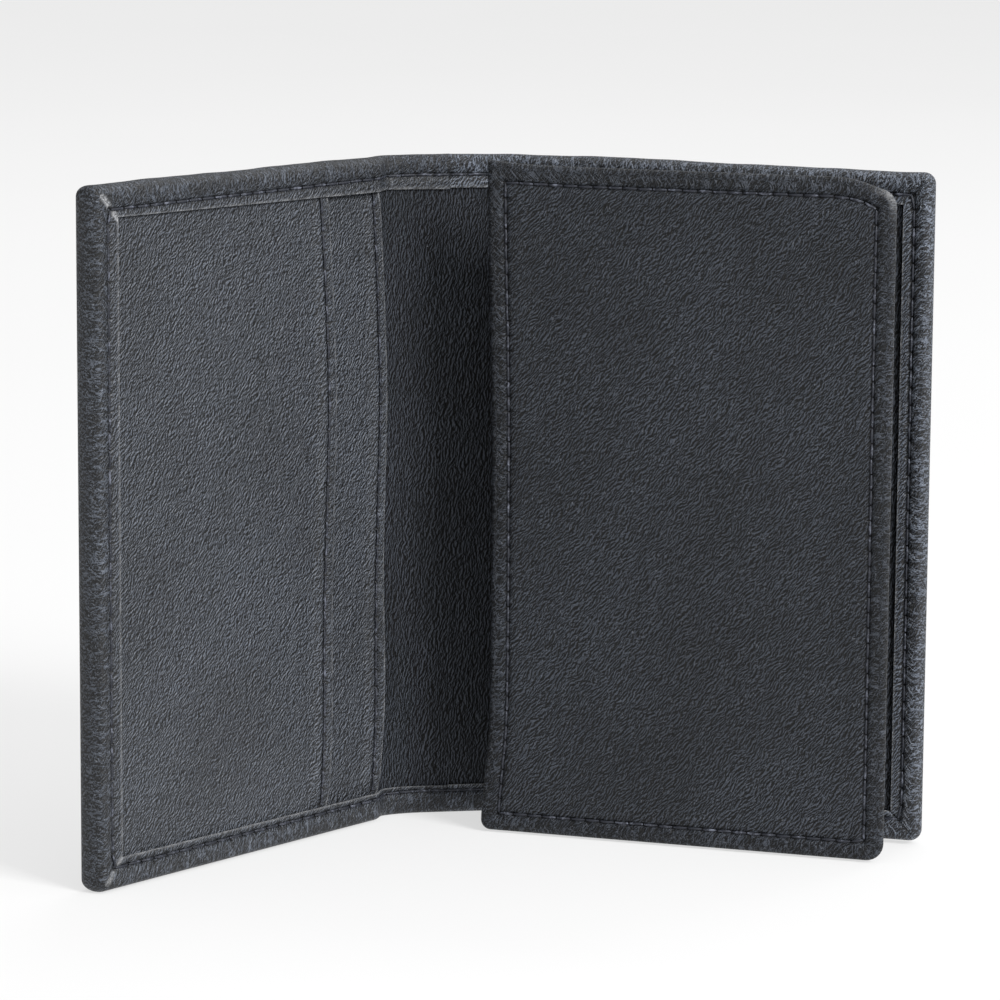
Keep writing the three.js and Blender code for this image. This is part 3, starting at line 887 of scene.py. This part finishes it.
def grey(value):
    """A dark grey with a little blue in it."""
    return (value * 0.87, value, value * 1.25, 1.0)


DUST = (0.24, 0.25, 0.27, 1)
# Colour of raw cut edges and wear, also a painted highlight on the panel's high and fore rims
RAW_EDGE_AND_RIM_HIGHLIGHT = (0.34, 0.345, 0.355, 1)
# Painted shade for stitch holes and seam grooves
PAINTED_HOLE_SHADE = (0.002, 0.0022, 0.0032, 1)
# Depth of the leather's grain, in metres
GRAIN = 0.00030


def leather(name, dark, light, long=0.62, wide=0.29, turn=50.0, network=0.3, gloss=0.42,
            specular=0.45):
    """Grained leather: small ridges that lean by turn degrees, long and wide in millimetres.
    Its colour paints each ridge a lit side and a shaded side, as painted relief light and shade,
    and paints crease lines lighter as painted glints; dark and light are the two ends of that tone.
    network adds longer wandering creases."""
    m = Shader(name)
    rest, edge, marks = (m.attribute(a) for a in ("rest", "edge", "marks"))
    painted_pit_shade, raw, rolled = m.add("SeparateXYZ", None, Vector=marks).outputs
    drift = m.add("TexNoise", None, Vector=rest, Scale=0.3, Detail=1.0).outputs["Color"]
    shifted = m.add("VectorMath", {"operation": "MULTIPLY_ADD"}, i0=drift, i1=(1.2,) * 3, i2=rest)
    lean = m.scaled(shifted.outputs[0], (1 / long, 1 / wide, 1 / wide), -math.radians(turn))
    aside = m.add("VectorMath", {"operation": "ADD"}, i0=lean, i1=(0.0, 0.5, 0.0)).outputs[0]
    ridges = m.noise(lean, 1.0, 1.5, 0.5)
    # Painted relief light and shade: the ridges minus a copy shifted across them light one side of
    # each ridge and shade the other
    painted_emboss_shade = m.math("SUBTRACT", ridges, m.noise(aside, 1.0, 1.5, 0.5))
    fine = m.noise(rest, 5.5, 3.0, 0.6)
    crease = m.off_centre(m.noise(lean, 0.42, 2.0, 0.5, 0.4))
    creased = m.times(m.spread(crease, 0.0, 0.05, 1.0, 0.0), network)
    # How strong the painted relief light and shade is, weaker on rolled leather
    steep = m.math("SUBTRACT", 2.8, m.times(rolled, 1.3))
    across = m.off_centre(m.noise(m.scaled(edge, (1.15, 0.3, 1.0)), 1.0, 3.0, 0.55, 0.5))
    folds = m.times(m.spread(across, 0.0, 0.05, 0.7, 0.0), rolled)
    wrinkle = m.plus(folds, m.times(rolled, -0.12))
    # Colour tone: painted relief light and shade plus the grain's own fine and crease tone; crease
    # and fold lines are painted lighter, as painted highlights on their crests
    grain_and_painted_relief_light = m.plus(m.times(painted_emboss_shade, steep), m.times(m.plus(fine, creased), 0.3))
    tone = m.spread(m.plus(grain_and_painted_relief_light, wrinkle, 0.32), 0.27, 1.0)
    height = m.plus(ridges, m.times(creased, 0.3), m.times(wrinkle, 0.6), m.times(fine, 0.12))
    patches = m.spread(m.noise(rest, 0.045, 3.0), 0.3, 0.7, 0.84, 1.18)
    patchy = m.add("CombineXYZ", None, X=patches, Y=patches, Z=patches).outputs[0]
    colour = m.mix(1.0, m.mix(tone, dark, light), patchy, "MULTIPLY")
    dust = m.add("TexVoronoi", {"feature": "F1"}, Vector=rest, Scale=0.3, Randomness=1.0)
    speck = m.spread(dust.outputs["Distance"], 0.015, 0.035, 0.45, 0.0)
    colour = m.mix(speck, colour, DUST)
    torn = m.spread(m.noise(rest, 2.4, 3.0, 0.7), 0.3, 0.62, 0.2, 1.0)
    # Raw edges and wear take the raw-edge colour; on the panel's high and fore rims it is partly a
    # painted highlight
    frayed_and_rim_highlight = m.math("MULTIPLY", raw, torn, clamp=True)
    colour = m.mix(frayed_and_rim_highlight, colour, RAW_EDGE_AND_RIM_HIGHLIGHT)
    # Painted shade: stitch holes and seam grooves are mixed towards near black
    colour = m.mix(m.times(painted_pit_shade, 0.92), colour, PAINTED_HOLE_SHADE)
    rough = m.plus(m.spread(tone, 0.0, 1.0, gloss + 0.16, gloss), m.times(frayed_and_rim_highlight, 0.25))
    return m.finish(colour, rough, height, 1.0, GRAIN, specular)


def thread_material():
    m = Shader("sewing_thread")
    rest = m.attribute("rest")
    twist = m.noise(m.scaled(rest, (6.0, 6.0, 6.0)), 1.0, 2.0)
    light = m.spread(m.noise(rest, 0.9, 3.0, 0.7), 0.5, 0.72)
    colour = m.mix(light, (0.012, 0.014, 0.021, 1), (0.12, 0.13, 0.165, 1))
    return m.finish(colour, 0.6, twist, 0.5, 0.00008, 0.4)


def fabric_material():
    m = Shader("slot_liner_weave")
    where = m.add("TexCoord").outputs["Object"]
    warp = m.add("TexWave", {"bands_direction": "X"}, Vector=where, Scale=900.0, Distortion=0.6)
    weft = m.add("TexWave", {"bands_direction": "Z"}, Vector=where, Scale=900.0, Distortion=0.6)
    weave = m.math("MAXIMUM", warp.outputs["Fac"], weft.outputs["Fac"])
    colour = m.mix(weave, (0.006, 0.006, 0.008, 1), (0.022, 0.023, 0.027, 1))
    return m.finish(colour, 0.9, weave, 0.6, 0.0001, 0.2)


def board_material():
    m = Shader("pressed_board")
    where = m.add("TexCoord").outputs["Object"]
    fibre = m.noise(m.scaled(where, (900.0, 900.0, 260.0)), 1.0, 5.0, 0.7)
    colour = m.mix(fibre, (0.16, 0.13, 0.095, 1), (0.33, 0.28, 0.21, 1))
    return m.finish(colour, 0.95, fibre, 0.4, 0.0001, 0.2)


# ---------------------------------------------------------------- assembly
def point_at(s):
    return tuple(place(s, HEIGHT / 2, 0) * MM)


def follow(piece, side):
    """Bakes the piece's transform into its mesh; the places at both ends of the crease's bend are
    worked out and not used.
    """
    if side == "left":
        point_at(-SPINE - BEND)
        point_at(-SPINE + BEND)
        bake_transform(piece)
    else:
        point_at(-BEND)
        point_at(BEND)
        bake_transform(piece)


def dress(piece, material, slot):
    piece.data.materials.clear()
    piece.data.materials.append(material)


def build_case():
    # One leather in lit and shaded copies: the light tones of the left cover and its slots (0.080),
    # the right cover (0.140) and the panel (0.056) are painted light and shade
    outside = leather("leather_cover_left_painted_light", grey(0.002), grey(0.080))
    painted_light_right_leather = leather("leather_cover_right_painted_light", grey(0.002), grey(0.140))
    face = leather("leather_panel_painted_shade", grey(0.001), grey(0.056),
                   long=0.75, wide=0.3, network=1.0, specular=0.3)
    inside = leather("leather_lining", grey(0.001), grey(0.05),
                     long=0.8, turn=80.0, gloss=0.55, specular=0.2)
    sewing = thread_material()
    weave = fabric_material()
    board = board_material()

    left, left_ends = outer_leather("cover_leather_left_turned", "left")
    right, right_ends = outer_leather("cover_leather_right_turned", "right")
    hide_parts("cover_leather_left")
    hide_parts("cover_leather_right", "spine_leather")
    for piece, side, material in ((left, "left", outside), (right, "right", painted_light_right_leather)):
        follow(piece, side)
        dress(piece, material, "outer_leather")

    for side, sign, ends, nodes in (
        ("left", -1, left_ends, ("cover_seam_left",)),
        ("right", 1, right_ends, ("cover_seam_right", "spine_seam_top", "spine_seam_bottom")),
    ):
        def to_place(x, z, n, sign=sign):
            return place(MID_SPINE + sign * x, z, n)

        def surface(x, z, sign=sign):
            return lip_top(MID_SPINE + sign * x) - GROOVE + THREAD_SINK

        piece = thread(f"cover_stitches_{side}", ends, to_place, surface)
        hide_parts(*nodes)
        follow(piece, side)
        dress(piece, sewing, "thread")

    lining_end = COVER - MARGIN
    left_lining = lining("lining_left", -SPINE - lining_end, MID_SPINE)
    right_lining = lining("lining_right", MID_SPINE, lining_end)
    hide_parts("cover_lining_left")
    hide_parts("cover_lining_right", "spine_lining")
    between = spine_interlining()
    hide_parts("spine_interlining")
    for piece, side, material, slot in (
        (left_lining, "left", inside, "lining_leather"),
        (right_lining, "right", inside, "lining_leather"),
        (between[0], "left", weave, "fabric"),
        (between[1], "right", weave, "fabric"),
    ):
        follow(piece, side)
        dress(piece, material, slot)

    back = slot_back_sheet()
    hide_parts("slot_back_leather")
    inner, inner_seam = hemmed_slot("slot_inner", SLOT_INNER_AT, SLOT_INNER_END, 1.8, 31, 0.9)
    outer, outer_seam = hemmed_slot("slot_outer", SLOT_OUTER_AT, SLOT_END, 2.4, 37, 0.25)
    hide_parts("slot_leather_inner")
    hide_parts("slot_leather_outer")
    for piece, material, slot, width in (
        (back, inside, "lining_leather", SLOT_END - SLOT_BACK_AT),
        (inner, outside, "outer_leather", SLOT_INNER_END - SLOT_INNER_AT),
        (outer, outside, "outer_leather", SLOT_END - SLOT_OUTER_AT),
    ):
        follow(piece, "left")
        dress(piece, material, slot)
    for name, seam, node in (
        ("slot_stitches_inner", inner_seam, "slot_seam_inner"),
        ("slot_stitches_outer", outer_seam, "slot_seam_outer"),
    ):
        piece = thread(name, *seam)
        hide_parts(node)
        follow(piece, "left")
        dress(piece, sewing, "thread")

    panel, panel_ends = panel_leather()
    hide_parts("panel_leather")
    back_lining = panel_lining()
    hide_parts("panel_lining")

    def on_panel(x, z, n):
        return place_flat(PANEL_MOUTH + x, PANEL_LOW + z, n)

    def panel_surface(x, z):
        return PANEL_FACE - PANEL_GROOVE + 0.14 + 0 * x

    stitches = thread("panel_stitches", panel_ends, on_panel, panel_surface)
    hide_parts("panel_seam")
    for piece, material, slot in (
        (panel, face, "outer_leather"),
        (back_lining, inside, "lining_leather"),
        (stitches, sewing, "thread"),
    ):
        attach(piece, "pocket_panel")
        dress(piece, material, slot)

    bellows = gusset()
    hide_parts("pocket_gusset")
    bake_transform(bellows)
    dress(bellows, inside, "lining_leather")
    profile = gusset_profile()

    for node, material in (
        ("cover_board_left", board),
        ("cover_board_right", board),
        ("panel_board", board),
        ("slot_liner_fabric", weave),
    ):
        mesh = frame["nodes"][node].data
        mesh.materials.clear()
        mesh.materials.append(material)


# ---------------------------------------------------------------- camera, floor and light
# From the foot of the right crease, in millimetres, and degrees
CAMERA_FROM_CREASE = (218.0, -685.6, 170.6)
CAMERA_YAW = 17.784
CAMERA_TILT = 9.509
CAMERA_ROLL = -0.39
CAMERA_LENS = 166.1
SENSOR = 36.0


def camera():
    yaw, tilt, roll = (math.radians(a) for a in (CAMERA_YAW, CAMERA_TILT, CAMERA_ROLL))
    flat = math.cos(tilt)
    ahead = Vector((-math.sin(yaw) * flat, math.cos(yaw) * flat, -math.sin(tilt)))
    across = Vector((math.cos(yaw), math.sin(yaw), 0))
    down = ahead.cross(across)
    right = math.cos(roll) * across + math.sin(roll) * down
    up = math.sin(roll) * across - math.cos(roll) * down
    data = bpy.data.cameras.new("camera")
    data.lens = CAMERA_LENS
    data.sensor_width = SENSOR
    data.clip_start, data.clip_end = 0.01, 100
    eye = bpy.data.objects.new("camera", data)
    turn = Matrix((right, up, -ahead)).transposed().to_4x4()
    at = Vector((*RIGHT_CREASE, 0)) + Vector(CAMERA_FROM_CREASE)
    eye.matrix_world = Matrix.Translation(at * MM) @ turn
    bpy.context.scene.collection.objects.link(eye)
    bpy.context.scene.camera = eye


FLOOR_GLOW = 0.62


def floor():
    work = bmesh.new()
    bmesh.ops.create_grid(work, x_segments=8, y_segments=8, size=12)
    mesh = bpy.data.meshes.new("floor")
    work.to_mesh(mesh)
    work.free()
    plane = bpy.data.objects.new("floor", mesh)
    bpy.context.scene.collection.objects.link(plane)
    m = Shader("pale_floor")
    where = m.add("TexCoord").outputs["Object"]
    soft = m.noise(where, 3.0, 2.0)
    colour = m.mix(soft, (0.26, 0.26, 0.26, 1), (0.28, 0.28, 0.28, 1))
    mesh.materials.append(m.finish(colour, 0.9, soft, 0.02, 0.0005, 0.1, glow=FLOOR_GLOW))
    plane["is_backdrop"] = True


def lamp(name, at, towards, size, power):
    data = bpy.data.lights.new(name, "AREA")
    data.shape = "RECTANGLE"
    data.size, data.size_y = size
    data.energy = power
    lit = bpy.data.objects.new(name, data)
    aim = (Vector(towards) - Vector(at)).to_track_quat("-Z", "Y")
    lit.matrix_world = Matrix.Translation(Vector(at)) @ aim.to_matrix().to_4x4()
    bpy.context.scene.collection.objects.link(lit)


# A soft glow from the right, the front and above, and how strong it is away from and towards it
SOFTBOX = (0.72, -0.3, 0.62)
SOFTBOX_GLOW = (-0.4, 0.9, 0.2, 1.0)
BACKDROP = 0.93


def studio():
    scene = bpy.context.scene
    world = bpy.data.worlds.new("studio")
    world.use_nodes = True
    tree = world.node_tree
    back = tree.nodes["Background"]
    seen = tree.nodes.new("ShaderNodeLightPath").outputs["Is Camera Ray"]
    where = tree.nodes.new("ShaderNodeTexCoord").outputs["Generated"]
    towards = tree.nodes.new("ShaderNodeVectorMath")
    towards.operation = "DOT_PRODUCT"
    towards.inputs[1].default_value = SOFTBOX
    tree.links.new(where, towards.inputs[0])
    glow = tree.nodes.new("ShaderNodeMapRange")
    glow.interpolation_type = "SMOOTHSTEP"
    for socket, value in zip(("From Min", "From Max", "To Min", "To Max"), SOFTBOX_GLOW):
        glow.inputs[socket].default_value = value
    tree.links.new(towards.outputs["Value"], glow.inputs["Value"])
    strength = tree.nodes.new("ShaderNodeMix")
    tree.links.new(seen, strength.inputs[0])
    tree.links.new(glow.outputs[0], strength.inputs[2])
    strength.inputs[3].default_value = BACKDROP
    tree.links.new(strength.outputs[0], back.inputs["Strength"])
    back.inputs["Color"].default_value = (1.0, 1.0, 1.0, 1)
    scene.world = world
    scene.view_settings.view_transform = "Standard"
    centre = (0, 0, 0.05)
    lamp("key", (1.13, -0.57, 0.86), centre, (0.5, 0.5), 26.0)
    lamp("top", (0.1, 0.9, 1.1), centre, (0.9, 0.5), 5.0)


camera()
floor()
studio()
build_case()
boxes = {"cad": CAD_BOUNDS, "visual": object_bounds()}
{key: [list(corner) for corner in box] for key, box in boxes.items()}
